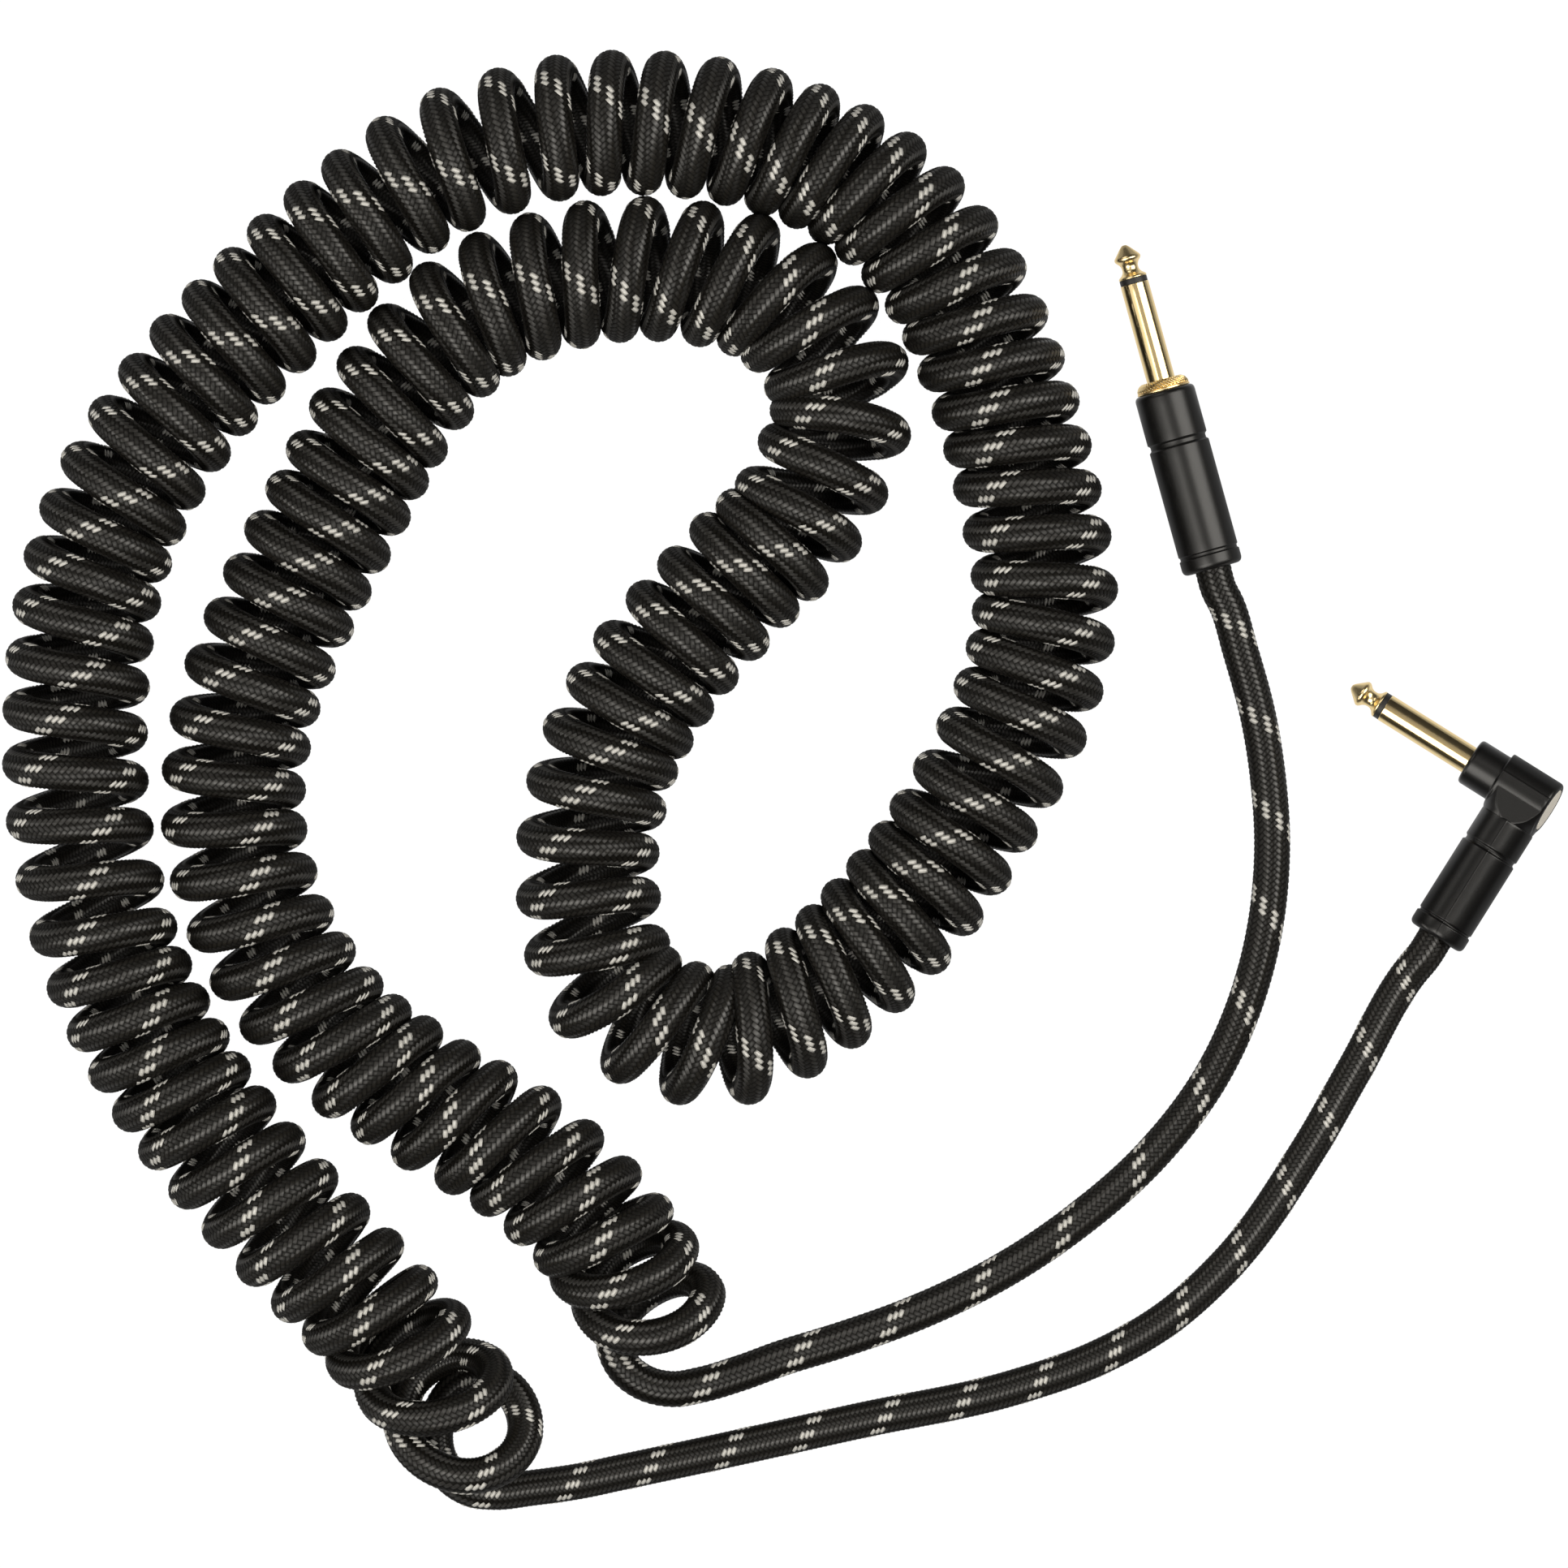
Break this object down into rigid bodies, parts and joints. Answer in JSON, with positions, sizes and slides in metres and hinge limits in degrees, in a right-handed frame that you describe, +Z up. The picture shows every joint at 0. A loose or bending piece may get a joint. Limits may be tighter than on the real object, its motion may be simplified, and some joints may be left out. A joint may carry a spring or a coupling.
{
  "type": "instrument cable",
  "caption": "Curly instrument cable in black braided fabric with a straight jack plug on one lead and a right-angle jack plug on the other, laid out flat.",
  "frame": {"origin": "middle of the two plugs' box in plan, on the surface that the cable lies on", "axes": "+Z up off the surface; +Y from the right-angle plug's cord end towards the straight plug's tip; +X away from the coil"},
  "size_m": [0.3457, 0.3246, 0.0325],
  "materials": {
    "gold_plate": "polished gold plate",
    "black_insulator": "smooth",
    "white_insulator": "matt",
    "tinned_brass": "dull tin plate",
    "black_satin_metal": "satin",
    "clear_liner": "smooth",
    "black_rubber": "matt",
    "core_insulation": "smooth",
    "copper": "bare copper strands",
    "tinned_braid": "twisted strands",
    "black_moulding": "satin moulding",
    "cap_metal": "satin champagne plate",
    "black_tweed": "braided yarn with white tracer flecks"
  },
  "bodies": {
    "cable": {"angle_back_washer": "white_insulator", "angle_barrel": "black_moulding", "angle_cap_disc": "cap_metal", "angle_core_insulation": "core_insulation", "angle_core_wire": "copper", "angle_ground_lug": "tinned_brass", "angle_head": "black_moulding", "angle_rod_insulator": "white_insulator", "angle_shield_pigtail": "tinned_braid", "angle_sleeve": "gold_plate", "angle_strain_relief": "black_rubber", "angle_tip": "gold_plate", "angle_tip_lug": "tinned_brass", "angle_tip_ring": "black_insulator", "coil": "black_tweed", "lead_angle": "black_tweed", "lead_straight": "black_tweed", "straight_back_washer": "white_insulator", "straight_body": "gold_plate", "straight_core_insulation": "core_insulation", "straight_core_wire": "copper", "straight_ground_clamp": "tinned_brass", "straight_rod_insulator": "white_insulator", "straight_shield_pigtail": "tinned_braid", "straight_sleeve": "gold_plate", "straight_tip": "gold_plate", "straight_tip_lug": "tinned_brass", "straight_tip_ring": "black_insulator"},
    "barrel_liner": {"straight_liner": "clear_liner", "straight_strain_relief": "black_rubber"},
    "barrel": {"straight_barrel": "black_satin_metal"}
  },
  "joints": [
    {"name": "barrel_back", "type": "slide", "parent": "cable", "child": "barrel_liner", "axis": [0.2658, -0.964, 0], "range_m": [0, 0.0045]},
    {"name": "barrel_unscrew", "type": "hinge", "parent": "barrel_liner", "child": "barrel", "pos_m": [-0.03942, 0.04838, 0.00683], "axis": [0.2658, -0.964, 0], "range_deg": [0, 1801]}
  ],
  "couplings": [
    {"joint": "barrel_unscrew", "follows": "barrel_back", "rad_per_m": 6981.3}
  ]
}
